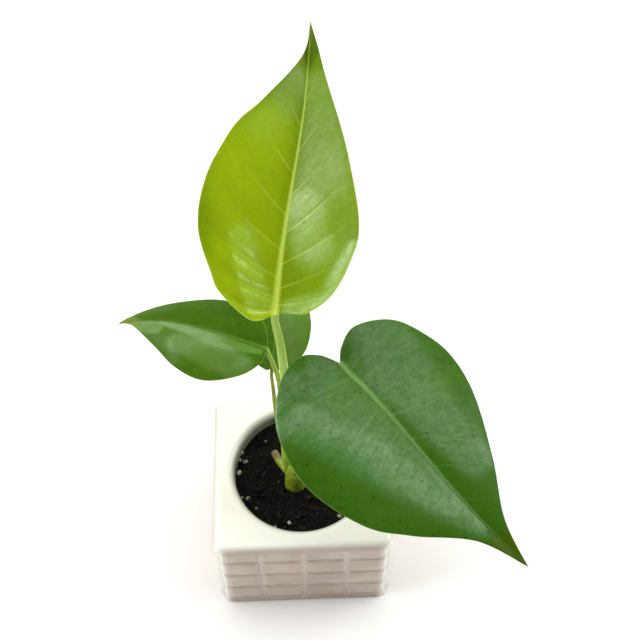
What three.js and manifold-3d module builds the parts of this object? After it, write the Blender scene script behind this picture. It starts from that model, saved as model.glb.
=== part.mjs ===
// Potted swiss cheese plant: a young plant with four whole leaves in a white glazed cube pot.
// Millimetres, +Z up, origin at the middle of the pot's foot, pot front facing -Y.
import * as THREE from 'three';
import { mergeVertices } from 'three/addons/utils/BufferGeometryUtils.js';
import Module from 'manifold-3d';

const wasm = await Module();
wasm.setup();

// Driving dimensions of the pot
const POT_WIDTH = 65;
const POT_HEIGHT = 48;
const POT_CORNER = 5;
const RIM_FILLET = 3;
const FOOT_BEVEL = 1.5;
const WELL_RADIUS = 24.5;
const WELL_FLOOR = 5;
const LIP_FILLET = 2.8;
const TILE_ROWS = 4;
const TILE_COLUMNS = 4;
const TILE_ROW_PITCH = 11.2;
const GROOVE_WIDTH = 2.4;
const GROOVE_DEPTH = 0.8;

// Driving dimensions of the soil and of the plant
const GAP = 0.3;
const SOIL_LEVEL = POT_HEIGHT - 6.5;
const CRUMB_SIZE = 3.2;
const CRUMB_HEIGHT = 1.3;
const STEM_DEPTH = 10;
const BLADE_THICKNESS = 0.7;
const BLADE_ROWS = 30;
const BLADE_COLUMNS = 4;
const VEIN_FAN = 1.9;
const MIDRIB_REACH = 0.8;
const MIDRIB_END_RADIUS = 0.4;

// Leaves. A blade's own plane runs from its base, at the stalk, to its tip, and rolls about that
// line. Above the plane it arches by arch, highest at peak of its length, both halves fold up by
// fold degrees and bend down again to the radius curl. bow and sway are how far the midrib swings
// sideways, in one swing and in two.
// Each outline lists points of one half's edge: distance along the blade, distance out, mm.
const LEAVES = {
  top: {
    base: [-6.4, 6, 138], tip: [7.6, 82, 188], roll: 0,
    arch: 8, peak: 0.56, bow: 2, sway: -0.8, fold: 24, curl: 200, twist: 0,
    wave: 0.8, waveLength: 38, halfWidth: 26,
    right: [
      [1, 5], [1.5, 11.5], [7.5, 19.3], [17.5, 23.9], [29, 24.9], [48.5, 17.6], [70, 7.7], [84, 2.8],
    ],
    left: [
      [-2.5, 7], [4.2, 17.4], [10, 21.3], [23, 27], [38, 26.6], [50, 22.8], [56.5, 19.2],
      [63, 13.4], [79.5, 1.9],
    ],
    stalk: [
      [-1.8, -3.2, 54], [-2.4, -1.4, 68], [-3.3, 2.2, 86], [-4.4, 6.2, 106],
      [-5.1, 8.1, 118], [-6.0, 7.4, 129.5], [-6.3, 7.2, 134],
    ],
    stalkRadius: [1.9, 1.2], colour: 0x86a71c, stalkColour: 0x8fb04a,
  },
  right: {
    base: [14.6, 7.3, 108], tip: [72.6, -54.1, 78], roll: 6,
    arch: 4, peak: 0.56, bow: 1.8, sway: -0.8, fold: 9, curl: 60, twist: 0,
    wave: 1, waveLength: 45, halfWidth: 36,
    right: [
      [-6.5, 3.7], [-10.5, 10.6], [-7.5, 21.2], [3.5, 31.7], [21.5, 36.1], [43.5, 30.3],
      [56.5, 20.6], [72, 6.1],
    ],
    left: [
      [-4, 4.2], [-6, 12.3], [0.5, 24], [11.5, 30], [22.5, 31.9], [37, 27.9], [56.5, 17.4], [73, 5.9],
    ],
    stalk: [
      [0.2, -3, 48], [3.6, -2, 58], [7, 0.4, 74], [10.4, 3.2, 90], [12.8, 5.8, 99.5], [13.9, 7.6, 104.5],
    ],
    stalkRadius: [1.8, 1.2], colour: 0x3f7030, stalkColour: 0x7fa040,
  },
  left: {
    base: [-10.1, 13.8, 108], tip: [-61.9, 30.9, 100], roll: -28,
    arch: 5, peak: 0.59, bow: 3.4, sway: -0.4, fold: 9, curl: 50, twist: 10,
    wave: 0.6, waveLength: 30, halfWidth: 15,
    right: [[0.5, 3.5], [2, 7.3], [7, 11.4], [18, 11], [30.5, 7.2], [40, 4.5], [52, 1.4]],
    left: [[0, 1.5], [1.5, 6.6], [7.5, 12.3], [19, 17.2], [29, 15.1], [38.2, 8.8], [49, 1.1]],
    stalk: [
      [-4.2, -2.8, 47], [-5.5, -1.4, 57], [-5.7, 1, 68], [-5.9, 4.8, 82], [-6.3, 9.2, 93.5],
      [-7.8, 11.6, 100], [-9.2, 13, 104.5],
    ],
    stalkRadius: [1.3, 0.8], colour: 0x3f7030, stalkColour: 0x7f9f33,
  },
  back: {
    base: [-9, 15.8, 93], tip: [-1.1, 68.4, 104], roll: 0,
    arch: 3, peak: 0.56, bow: 0, sway: 0, fold: 10, curl: 80, twist: 0,
    wave: 0.5, waveLength: 30, halfWidth: 14,
    right: [[-1, 2], [1, 7], [6.5, 11.5], [15, 12.5], [24, 10.5], [38, 7.5], [48, 2.5]],
    left: [[-1, 2], [2, 7.5], [5.5, 12.5], [14, 14], [25, 13], [38, 8], [48, 3]],
    stalk: [
      [-2.6, -0.8, 47.5], [-5.2, 3, 57], [-7.4, 6.4, 68], [-8.3, 9.6, 78], [-8.7, 12.4, 85],
      [-9, 14.3, 89.5],
    ],
    stalkRadius: [1, 0.6], colour: 0x35602a, stalkColour: 0x77842a,
  },
};

// Stem: its middle line from under the soil to its tip, the radius at each of those points, and
// the stub of an old leaf stalk that lies over the soil on its left
const STEM = {
  line: [
    [-2.2, -3, SOIL_LEVEL - STEM_DEPTH], [-2.2, -3, SOIL_LEVEL], [-2, -3, 50], [-1.8, -3, 55],
    [-1.8, -3, 57.5],
  ],
  radii: [3, 4, 3.6, 2.8, 1.4],
};
const STUB = { line: [[-3.6, -1, 45.5], [-7.8, 4.5, 45], [-10, 8.6, 45.4]], radii: [1.9, 1.5, 1.4] };

const vector = (point) => new THREE.Vector3(...point);

// Closed surface through a list of rings with equally many points. A ring that has shrunk to one
// point closes an end.
function loft(rings) {
  const count = rings[0].length;
  const positions = rings.flat().flatMap((p) => [p.x, p.y, p.z]);
  const index = [];
  for (let r = 0; r + 1 < rings.length; r++) {
    for (let i = 0; i < count; i++) {
      const a = r * count + i;
      const b = r * count + ((i + 1) % count);
      index.push(a, b, b + count, a, b + count, a + count);
    }
  }
  return closed(positions, index);
}

// Merge shared points and drop the triangles that have shrunk to a line
function closed(positions, index) {
  const geometry = new THREE.BufferGeometry();
  geometry.setAttribute('position', new THREE.Float32BufferAttribute(positions, 3));
  geometry.setIndex(index);
  const merged = mergeVertices(geometry, 1e-4);
  const old = merged.index.array;
  const kept = [];
  for (let i = 0; i < old.length; i += 3) {
    const [a, b, c] = [old[i], old[i + 1], old[i + 2]];
    if (a !== b && b !== c && c !== a) kept.push(a, b, c);
  }
  merged.setIndex(kept);
  return merged;
}

function circle(radius, z, sides) {
  return Array.from({ length: sides }, (_, i) => {
    const angle = (2 * Math.PI * i) / sides;
    return new THREE.Vector3(radius * Math.cos(angle), radius * Math.sin(angle), z);
  });
}

// Solids for joining and cutting
function solid(geometry) {
  const bare = geometry.clone();
  bare.deleteAttribute('normal');
  bare.deleteAttribute('uv');
  const merged = mergeVertices(bare, 1e-4);
  return new wasm.Manifold(new wasm.Mesh({
    numProp: 3,
    vertProperties: new Float32Array(merged.attributes.position.array),
    triVerts: new Uint32Array(merged.index.array),
  }));
}

function geometryOf(manifold) {
  const mesh = manifold.getMesh();
  const geometry = new THREE.BufferGeometry();
  geometry.setAttribute('position', new THREE.BufferAttribute(mesh.vertProperties, 3));
  geometry.setIndex(new THREE.BufferAttribute(mesh.triVerts, 1));
  geometry.computeVertexNormals();
  return geometry;
}

// Round tube along a smooth line through points, with a radius for each point and flat ends
function tube(points, radii, sides, steps, extra = 0) {
  const line = new THREE.CatmullRomCurve3(points.map(vector));
  const frames = line.computeFrenetFrames(steps, false);
  const ringAt = (step, radius) => {
    const centre = line.getPointAt(step / steps);
    return Array.from({ length: sides }, (_, i) => {
      const angle = (2 * Math.PI * i) / sides;
      return centre.clone()
        .addScaledVector(frames.normals[step], radius * Math.cos(angle))
        .addScaledVector(frames.binormals[step], radius * Math.sin(angle));
    });
  };
  const radiusAt = (step) => {
    const place = line.getUtoTmapping(step / steps) * (radii.length - 1);
    const from = Math.min(Math.floor(place), radii.length - 2);
    return THREE.MathUtils.lerp(radii[from], radii[from + 1], place - from) + extra;
  };
  const rings = [ringAt(0, 0)];
  for (let step = 0; step <= steps; step++) rings.push(ringAt(step, radiusAt(step)));
  rings.push(ringAt(steps, 0));
  return loft(rings);
}

// Pot: rounded square walls with rows of tile grooves, columns cut in, and a round well
function roundedSquare(inset, z) {
  const reach = POT_WIDTH / 2 - POT_CORNER;
  const radius = POT_CORNER - inset;
  const cornerSteps = 5;
  const ring = [];
  for (const quarter of [0, 1, 2, 3]) {
    const middle = new THREE.Vector2(reach, reach).rotateAround(
      new THREE.Vector2(), (quarter * Math.PI) / 2);
    for (let i = 0; i <= cornerSteps; i++) {
      const angle = ((quarter + i / cornerSteps) * Math.PI) / 2;
      ring.push(new THREE.Vector3(
        middle.x + radius * Math.cos(angle), middle.y + radius * Math.sin(angle), z));
    }
  }
  return ring;
}

function potWalls() {
  const rings = [circle(0, 0, 24), roundedSquare(FOOT_BEVEL, 0), roundedSquare(0, FOOT_BEVEL)];
  for (let row = TILE_ROWS - 1; row >= 1; row--) {
    const z = POT_HEIGHT - row * TILE_ROW_PITCH;
    rings.push(roundedSquare(0, z - GROOVE_WIDTH / 2));
    rings.push(roundedSquare(GROOVE_DEPTH, z));
    rings.push(roundedSquare(0, z + GROOVE_WIDTH / 2));
  }
  const filletSteps = 4;
  for (let i = 0; i <= filletSteps; i++) {
    const angle = (i / filletSteps) * (Math.PI / 2);
    rings.push(roundedSquare(
      RIM_FILLET * (1 - Math.cos(angle)), POT_HEIGHT - RIM_FILLET * (1 - Math.sin(angle))));
  }
  rings.push(circle(0, POT_HEIGHT, 24));
  return loft(rings);
}

function potWell() {
  const sides = 64;
  const rings = [circle(0, WELL_FLOOR, sides), circle(WELL_RADIUS, WELL_FLOOR, sides)];
  const lipSteps = 4;
  for (let i = 0; i <= lipSteps; i++) {
    const angle = (i / lipSteps) * (Math.PI / 2);
    rings.push(circle(
      WELL_RADIUS + LIP_FILLET * (1 - Math.cos(angle)),
      POT_HEIGHT - LIP_FILLET * (1 - Math.sin(angle)), sides));
  }
  rings.push(circle(WELL_RADIUS + LIP_FILLET, POT_HEIGHT + 1, sides), circle(0, POT_HEIGHT + 1, sides));
  return loft(rings);
}

function columnGrooves() {
  const grooves = [];
  const height = POT_HEIGHT - RIM_FILLET - FOOT_BEVEL;
  for (let side = 0; side < 4; side++) {
    for (let column = 1; column < TILE_COLUMNS; column++) {
      const groove = new THREE.BoxGeometry(1, 1, height);
      groove.rotateZ(Math.PI / 4);
      groove.scale(GROOVE_WIDTH / Math.SQRT2, (2 * GROOVE_DEPTH) / Math.SQRT2, 1);
      groove.translate(
        (column / TILE_COLUMNS - 0.5) * POT_WIDTH, -POT_WIDTH / 2, FOOT_BEVEL + height / 2);
      groove.rotateZ((side * Math.PI) / 2);
      grooves.push(groove);
    }
  }
  return grooves;
}

function pot() {
  let body = solid(potWalls()).subtract(solid(potWell()));
  for (const groove of columnGrooves()) body = body.subtract(solid(groove));
  return geometryOf(body);
}

// Soil: crumbs raised by smooth noise on a square lattice, and one hole that the stem stands in
function latticeNoise(i, j) {
  const value = Math.sin(i * 127.1 + j * 311.7) * 43758.5453;
  return value - Math.floor(value);
}

function crumbs(x, y) {
  const [i, j] = [Math.floor(x / CRUMB_SIZE), Math.floor(y / CRUMB_SIZE)];
  const ease = (t) => t * t * (3 - 2 * t);
  const [a, b] = [ease(x / CRUMB_SIZE - i), ease(y / CRUMB_SIZE - j)];
  const near = THREE.MathUtils.lerp(latticeNoise(i, j), latticeNoise(i + 1, j), a);
  const far = THREE.MathUtils.lerp(latticeNoise(i, j + 1), latticeNoise(i + 1, j + 1), a);
  return CRUMB_HEIGHT * (THREE.MathUtils.lerp(near, far, b) - 0.5);
}

function soil() {
  const sides = 48;
  const steps = 15;
  const radius = WELL_RADIUS - GAP;
  const rings = [circle(0, WELL_FLOOR + GAP, sides), circle(radius, WELL_FLOOR + GAP, sides)];
  for (let step = 0; step <= steps; step++) {
    const ring = circle(radius * (1 - step / steps), SOIL_LEVEL, sides);
    for (const point of ring) point.z += crumbs(point.x, point.y);
    rings.push(ring);
  }
  return geometryOf(solid(loft(rings)).subtract(solid(stemCore(GAP))));
}

// Stem with its stub, grown as one
const stemCore = (extra = 0) => tube(STEM.line, STEM.radii, 16, 12, extra);

function stem(extra = 0) {
  const stub = tube(STUB.line, STUB.radii, 10, 6, extra);
  return solid(stemCore(extra)).add(solid(stub));
}

// Leaf blade: the frame of its plane, the height over that plane and a point on it
function leafFrame(leaf) {
  const base = vector(leaf.base);
  const along = vector(leaf.tip).sub(base);
  const length = along.length();
  along.divideScalar(length);
  const up = new THREE.Vector3(0, 0, 1).addScaledVector(along, -along.z).normalize();
  up.applyAxisAngle(along, THREE.MathUtils.degToRad(leaf.roll));
  const side = new THREE.Vector3().crossVectors(along, up);
  return { base, along, up, side, length };
}

function leafPoint(leaf, frame, u, v, lift = 0) {
  const t = u / frame.length;
  const fold = THREE.MathUtils.degToRad(leaf.fold);
  const peakPower = Math.log(0.5) / Math.log(leaf.peak);
  const arch = leaf.arch * Math.sin(Math.PI * THREE.MathUtils.clamp(t, 0, 1) ** peakPower);
  const curl = (v * v + Math.min(u, 0) ** 2) / (2 * leaf.curl);
  const twist = v * Math.tan(THREE.MathUtils.degToRad(leaf.twist)) * (t - 0.5);
  const phase = v > 0 ? 0 : 2.2;
  const wave = leaf.wave * (v / leaf.halfWidth) ** 2
    * Math.sin((2 * Math.PI * u) / leaf.waveLength + phase);
  const height = arch + Math.abs(v) * Math.sin(fold) - curl + twist + wave + lift;
  const swing = leaf.bow * Math.sin(Math.PI * t) + leaf.sway * Math.sin(2 * Math.PI * t);
  const sideways = v * Math.cos(fold) + swing;
  return frame.base.clone()
    .addScaledVector(frame.along, u)
    .addScaledVector(frame.side, sideways)
    .addScaledVector(frame.up, height);
}

// One row of points across the blade for each step from the base to the tip. The rows fan out
// from the midrib as the side veins do, so the first and the last shrink to a point.
function leafRows(leaf, frame, lift) {
  const edge = (half, sign) => new THREE.SplineCurve([
    new THREE.Vector2(0, 0),
    ...half.map(([u, v]) => new THREE.Vector2(u, sign * v)),
    new THREE.Vector2(frame.length, 0),
  ]).getSpacedPoints(BLADE_ROWS);
  const right = edge(leaf.right, 1);
  const left = edge(leaf.left, -1);
  return right.map((_, row) => {
    const foot = new THREE.Vector2(frame.length * (row / BLADE_ROWS) ** VEIN_FAN, 0);
    const points = [];
    for (let column = -BLADE_COLUMNS; column <= BLADE_COLUMNS; column++) {
      const rim = column < 0 ? left[row] : right[row];
      const place = foot.clone().lerp(rim, Math.abs(column) / BLADE_COLUMNS);
      points.push(leafPoint(leaf, frame, place.x, place.y, lift));
    }
    return points;
  });
}

// Thin closed solid between two alike sheets of points
function blade(leaf, thickness) {
  const frame = leafFrame(leaf);
  const upper = leafRows(leaf, frame, thickness / 2);
  const lower = leafRows(leaf, frame, -thickness / 2);
  const width = upper[0].length;
  const under = upper.length * width;
  const positions = [...upper.flat(), ...lower.flat()].flatMap((p) => [p.x, p.y, p.z]);
  const index = [];
  for (let row = 0; row + 1 < upper.length; row++) {
    for (let column = 0; column + 1 < width; column++) {
      const a = row * width + column;
      const [b, c, d] = [a + 1, a + width + 1, a + width];
      index.push(a, b, c, a, c, d);
      index.push(a + under, c + under, b + under, a + under, d + under, c + under);
    }
    const leftEdge = row * width;
    const rightEdge = leftEdge + width - 1;
    index.push(leftEdge, leftEdge + width, leftEdge + width + under);
    index.push(leftEdge, leftEdge + width + under, leftEdge + under);
    index.push(rightEdge, rightEdge + under, rightEdge + width + under);
    index.push(rightEdge, rightEdge + width + under, rightEdge + width);
  }
  return closed(positions, index);
}

// Leaf stalk: from the stem up to the blade's base, then on under the blade as its midrib
function stalk(leaf) {
  const frame = leafFrame(leaf);
  const [footRadius, neckRadius] = leaf.stalkRadius;
  const ribSteps = 5;
  const points = [...leaf.stalk];
  const radii = leaf.stalk.map((_, i) =>
    THREE.MathUtils.lerp(footRadius, neckRadius, i / (leaf.stalk.length - 1)));
  for (let i = 1; i <= ribSteps; i++) {
    const share = i / ribSteps;
    const radius = THREE.MathUtils.lerp(neckRadius, MIDRIB_END_RADIUS, share);
    const drop = BLADE_THICKNESS / 2 + GAP + 0.1 + radius;
    const u = frame.length * MIDRIB_REACH * share;
    points.push(leafPoint(leaf, frame, u, 0, -drop).toArray());
    radii.push(radius);
  }
  const body = solid(tube(points, radii, 10, 36));
  const clearance = solid(blade(leaf, BLADE_THICKNESS + 2 * GAP));
  return body.subtract(clearance).subtract(stem(GAP));
}

function part(name, geometry, colour, roughness) {
  const material = new THREE.MeshStandardMaterial({ color: colour, roughness, metalness: 0 });
  const mesh = new THREE.Mesh(geometry, material);
  mesh.name = name;
  return mesh;
}

const plant = new THREE.Group();
plant.add(part('pot', pot(), 0xf3f1e4, 0.15));
plant.add(part('soil', soil(), 0x1a1512, 0.95));
plant.add(part('stem', geometryOf(stem()), 0x8a9a2c, 0.5));
for (const [name, leaf] of Object.entries(LEAVES)) {
  plant.add(part(`stalk_${name}`, geometryOf(stalk(leaf)), leaf.stalkColour, 0.45));
  plant.add(part(`leaf_${name}`, blade(leaf, BLADE_THICKNESS), leaf.colour, 0.35));
}

export default plant;
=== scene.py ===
"""Potted swiss cheese plant: a young plant with four whole leaves in a white glazed cube pot.

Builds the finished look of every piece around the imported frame. Run it in Blender as a script.
"""

import math

import bmesh
import bpy
import numpy as np
from mathutils import Matrix, Vector


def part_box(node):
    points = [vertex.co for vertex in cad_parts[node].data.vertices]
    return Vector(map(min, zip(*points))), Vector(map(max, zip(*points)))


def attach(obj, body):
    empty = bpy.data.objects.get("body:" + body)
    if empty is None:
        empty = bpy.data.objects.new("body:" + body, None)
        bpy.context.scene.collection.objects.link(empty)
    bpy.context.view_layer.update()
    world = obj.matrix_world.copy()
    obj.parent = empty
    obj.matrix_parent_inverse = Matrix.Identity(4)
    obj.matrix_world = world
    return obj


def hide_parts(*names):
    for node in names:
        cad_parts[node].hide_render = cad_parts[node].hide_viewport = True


bl_info = {
    "name": "Potted Swiss Cheese Plant",
    "version": (1, 0, 0),
    "blender": (4, 5, 0),
    "location": "View3D > Sidebar > Plant",
    "description": "Builds a young swiss cheese plant in a glazed cube pot",
    "category": "Add Mesh",
}

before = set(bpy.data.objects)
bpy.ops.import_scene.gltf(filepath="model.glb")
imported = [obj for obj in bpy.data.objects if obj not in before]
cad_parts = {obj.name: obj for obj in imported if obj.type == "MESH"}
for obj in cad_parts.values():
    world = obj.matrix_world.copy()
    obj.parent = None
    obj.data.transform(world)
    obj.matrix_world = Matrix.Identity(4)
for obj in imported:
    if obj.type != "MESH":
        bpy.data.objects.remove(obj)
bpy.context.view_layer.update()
MM = 0.001
BODY = "root"

# Pot, millimetres, read off the frame where the frame has it
POT_LOW, POT_HIGH = (np.array(corner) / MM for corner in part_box("pot"))
POT_WIDTH = POT_HIGH[0] - POT_LOW[0]
POT_HEIGHT = POT_HIGH[2] - POT_LOW[2]
POT_CORNER = 5
RIM_FILLET = 3
FOOT_BEVEL = 1.5
WELL_RADIUS = 24.5
WELL_FLOOR = 5
LIP_FILLET = 2.8
TILE_ROW_PITCH = 11.2
SOIL_LEVEL = POT_HEIGHT - 6.5
SOIL_WALL_GAP = 0.05
SOIL_FLOOR_GAP = 0.3
GRAIN_WALL_GAP = 1.2
GRAIN_STEM_GAP = 4.4

# Distances of the shell's points from the middle of a groove, the flat bands at foot and rim, and
# the height over which the relief starts beyond them, at its least strength
GROOVE_STEPS = (0, 0.25, 0.5, 0.8, 1.2, 2, 3.2, 4.8, 6.4)
FLAT_BAND = 0.4
RELIEF_FADE = 1.2
RELIEF_LEAST = 0.15

# Leaves, millimetres and degrees. A blade's own plane runs from its base, at the stalk, to its
# tip, and rolls about that line. Above the plane it arches by arch, highest at peak of its
# length, both halves fold up by fold and bend down again to the radius curl. bow and sway are how
# far the midrib swings sideways, in one swing and in two. An outline lists points of one half's
# edge: distance along the blade and distance out from the midrib. veins counts the side veins of
# each half, groove is their depth, quilt is the swell between them on each half, and rib is the
# midrib's width at base and tip. The blade dips by funnel round its base and by trough along its
# midrib, and its edge turns up by margin. Its skin is waxed by its wax value, more in the waxy
# patches, and the same values mix a painted sheen into its green. The pale patches are painted
# light and sheen, with painted glint streaks in the strongest. A patch lies on one half and runs
# from one place to another: distance along, distance out (left is negative) and radius at both,
# then its strength.
LEAVES = {
    "top": {
        "base": (-6.4, 6, 138), "tip": (7.6, 82, 188), "roll": 0,
        "arch": 8, "peak": 0.56, "bow": 2, "sway": -0.8, "fold": 24, "curl": 200, "twist": 0,
        "wave": 0.8, "wave_length": 38, "half_width": 26,
        "right": [
            (1, 5), (1.5, 11.5), (7.5, 19.3), (17.5, 23.9), (29, 24.9), (48.5, 17.6), (70, 7.7),
            (84, 2.8),
        ],
        "left": [
            (-2.5, 7), (4.2, 17.4), (10, 21.3), (23, 27), (38, 26.6), (50, 22.8), (56.5, 19.2),
            (63, 13.4), (79.5, 1.9),
        ],
        "stalk": [
            (-1.8, -3.2, 54), (-2.4, -1.4, 68), (-3.3, 2.2, 86), (-4.4, 6.2, 106),
            (-5.1, 8.1, 118), (-6.0, 7.4, 129.5), (-6.3, 7.2, 134),
        ],
        "stalk_radius": (1.9, 1.2), "veins": 9, "blade": "young_leaf", "stem": "young_stalk",
        "quilt": (0.05, 0.5), "groove": 0.05, "rib": (3.3, 0.8),
        "funnel": 0.8, "trough": 0.2, "margin": 0.9, "wax_and_sheen": 0.0,
        "sheen_patches": [
            (30, 13, 12, 70, 5, 5, 0.45), (22, 11, 7, 32, 6, 7, 1.15),
            (2.5, 5, 2.6, 6, 17, 3, 1.3), (7, 18, 3, 22, 23.5, 2.5, 1.2),
            (58, -12, 7, 70, -4, 5, 0.3), (22, -13, 4, 4, -6, 4, 0.8),
        ],
        "pale": [(8, -10, 12, 50, -14, 14, 0.6), (22, -14, 4, 2, -5, 5, 1.0)],
    },
    "right": {
        "base": (14.6, 7.3, 108), "tip": (72.6, -54.1, 78), "roll": 6,
        "arch": 4, "peak": 0.56, "bow": 1.8, "sway": -0.8, "fold": 9, "curl": 60, "twist": 0,
        "wave": 1, "wave_length": 45, "half_width": 36,
        "right": [
            (-6.5, 3.7), (-10.5, 10.6), (-7.5, 21.2), (3.5, 31.7), (21.5, 36.1), (43.5, 30.3),
            (56.5, 20.6), (72, 6.1),
        ],
        "left": [
            (-4, 4.2), (-6, 12.3), (0.5, 24), (11.5, 30), (22.5, 31.9), (37, 27.9), (56.5, 17.4),
            (73, 5.9),
        ],
        "stalk": [
            (0.2, -3, 48), (3.6, -2, 58), (7, 0.4, 74), (10.4, 3.2, 90), (12.8, 5.8, 99.5),
            (13.9, 7.6, 104.5),
        ],
        "stalk_radius": (1.8, 1.2), "veins": 10, "blade": "leaf", "stem": "stalk",
        "quilt": (0.08, 0.08), "groove": 0.02, "rib": (2.6, 0.5),
        "funnel": 1.6, "trough": 0.35, "margin": -0.35, "wax_and_sheen": 0.12,
        "sheen_patches": [
            (0, 27, 6, 30, 14, 8, 1.05), (30, 14, 8, 59, 5.5, 3, 0.95), (4, 16, 15, 68, 3, 4, 0.5),
            (4, -12, 13, 52, -12, 6, 0.6),
        ],
        "pale": [],
    },
    "left": {
        "base": (-10.1, 13.8, 108), "tip": (-61.9, 30.9, 100), "roll": -28,
        "arch": 5, "peak": 0.59, "bow": 3.4, "sway": -0.4, "fold": 9, "curl": 50, "twist": 10,
        "wave": 0.6, "wave_length": 30, "half_width": 15,
        "right": [(0.5, 3.5), (2, 7.3), (7, 11.4), (18, 11), (30.5, 7.2), (40, 4.5), (52, 1.4)],
        "left": [
            (0, 1.5), (1.5, 6.6), (7.5, 12.3), (19, 17.2), (29, 15.1), (38.2, 8.8), (49, 1.1),
        ],
        "stalk": [
            (-4.2, -2.8, 47), (-5.5, -1.4, 57), (-5.7, 1, 68), (-5.9, 4.8, 82), (-6.3, 9.2, 93.5),
            (-7.8, 11.6, 100), (-9.2, 13, 104.5),
        ],
        "stalk_radius": (1.3, 0.8), "veins": 7, "blade": "leaf", "stem": "stalk",
        "quilt": (0.06, 0.06), "groove": 0.01, "rib": (1.3, 0.3),
        "funnel": 0.8, "trough": 0.3, "margin": -0.3, "wax_and_sheen": 0.15,
        "sheen_patches": [
            (38, -0.8, 0.5, 16, -3.2, 2.6, 1.2), (16, -3.2, 2.6, 2, -1.8, 0.8, 1.2),
            (50, -1, 3, 38, -2.5, 2, 0.6), (30, -7, 3, 8, -9, 5, 0.5),
        ],
        "pale": [
            (38, -0.8, 0.5, 16, -3.2, 2.4, 0.45), (16, -3.2, 2.4, 2, -1.8, 0.8, 0.45),
            (50, -1, 3, 38, -2.5, 2, 0.5), (30, -7, 3, 8, -9, 5, 0.4),
        ],
    },
    "back": {
        "base": (-9, 15.8, 93), "tip": (-1.1, 68.4, 104), "roll": 0,
        "arch": 3, "peak": 0.56, "bow": 0, "sway": 0, "fold": 10, "curl": 80, "twist": 0,
        "wave": 0.5, "wave_length": 30, "half_width": 14,
        "right": [(-1, 2), (1, 7), (6.5, 11.5), (15, 12.5), (24, 10.5), (38, 7.5), (48, 2.5)],
        "left": [(-1, 2), (2, 7.5), (5.5, 12.5), (14, 14), (25, 13), (38, 8), (48, 3)],
        "stalk": [
            (-2.6, -0.8, 47.5), (-5.2, 3, 57), (-7.4, 6.4, 68), (-8.3, 9.6, 78), (-8.7, 12.4, 85),
            (-9, 14.3, 89.5),
        ],
        "stalk_radius": (1, 0.6), "veins": 7, "blade": "leaf", "stem": "old_stalk",
        "quilt": (0.06, 0.06), "groove": 0.01, "rib": (1.2, 0.3),
        "funnel": 0.6, "trough": 0.3, "margin": -0.3, "wax_and_sheen": 0.25,
        "sheen_patches": [],
        "pale": [(4, 6, 6, 30, 6, 5, 0.5)],
    },
}

# Leaf skins: greens of the part near the tip, of the painted light in the pale patches and of the
# painted sheen in the waxy ones, the tip, the veins, the rim, which also paints the glint streaks,
# and the underside, and how strongly the fine net, the side veins, the dark specks and the light
# inside the leaf show. The midrib's colour fades by rib_fade towards the tip.
SKINS = {
    "young": {
        "upper": (98, 132, 2), "pale": (184, 210, 18), "painted_sheen": (160, 200, 84),
        "tip": (78, 106, 1), "vein": (230, 250, 108), "rim": (216, 236, 130),
        "under": (140, 168, 50),
        "net": 0.03, "side_veins": 0.22, "specks": 0.0, "glow": 0.6, "rib_fade": 0.45,
    },
    "mature": {
        "upper": (50, 92, 5), "pale": (110, 150, 90), "painted_sheen": (78, 130, 62),
        "tip": (60, 86, 2), "vein": (122, 160, 84), "rim": (124, 160, 64),
        "under": (92, 124, 62),
        "net": 0.02, "side_veins": 0.1, "specks": 0.85, "glow": 0.06, "rib_fade": 0.85,
    },
    "small": {
        "upper": (76, 116, 14), "pale": (128, 162, 84), "painted_sheen": (102, 148, 60),
        "tip": (112, 142, 48), "vein": (112, 150, 60), "rim": (140, 172, 70),
        "under": (104, 136, 66),
        "net": 0.02, "side_veins": 0.05, "specks": 0.0, "glow": 0.15, "rib_fade": 0.9,
    },
}

# Blades: how far side veins fan forward, where the midrib ends under the blade as a share of its
# length, its radius there and how deep it lies under the blade's middle surface, the reach of the
# dip round the base, the widths of the trough, the turned edge and the grooves over side veins,
# the midrib's height on the upper side, how far the left half waves behind the right one, where a
# patch ends and over what part of its radius it fades, and the mesh's rows and columns
VEIN_FAN = 1.9
MIDRIB_REACH = 0.8
MIDRIB_END_RADIUS = 0.3
MIDRIB_DEPTH = 0.05
FUNNEL_RADIUS = 9
TROUGH_WIDTH = 2.6
MARGIN_WIDTH = 1.6
GROOVE_WIDTH = 0.45
RIB_HEIGHT = 0.16
WAVE_LAG = 2.2
PATCH_END = 1.45
PATCH_FADE = 0.9
BLADE_ROWS = 300
BLADE_COLUMNS = 30

# Stem, millimetres: middle line with the radius at each point, and the stub of an old stalk
STEM_LINE = [(-2.2, -3, 32), (-2.2, -3, 41.5), (-2, -3, 50), (-1.8, -3, 55), (-1.8, -3, 57.4)]
STEM_RADII = [3, 4, 3.6, 2.8, 1.3]
STUB_LINE = [(-3.6, -1, 45.5), (-7.8, 4.5, 45), (-10, 8.6, 45.4)]
STUB_RADII = [1.9, 1.5, 1.3]

# Perlite grains seen round the rim and near the stem: x, y, diameter, millimetres
PERLITE_SPOTS = [
    (-13.2, 14.7, 0.9), (-22.4, 10.2, 1.8), (-20.8, 6.3, 2.2), (-22.9, 7.0, 1.6),
    (-23.2, 1.9, 1.7), (-19.9, -8.8, 1.7), (-22.2, -8.2, 1.3), (-16.7, -13.2, 1.4),
    (-10.4, -20.6, 1.9), (-4.8, -19.0, 1.5), (-8.5, -2.0, 0.7), (9.0, 19.5, 1.6),
    (17.5, 13.0, 1.9), (21.5, -3.5, 1.5), (13.5, -17.0, 1.7), (3.0, 14.0, 1.2),
]

# Camera of the photograph, taken as 640 pixels square
IMAGE_SIZE = 640
FOCAL_PIXELS = 1133
CAMERA_PLACE = (2.1, -194.6, 423)
CAMERA_PITCH = 0.963
CAMERA_YAW = 0.028
CAMERA_ROLL = -0.009
SENSOR = 36


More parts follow.
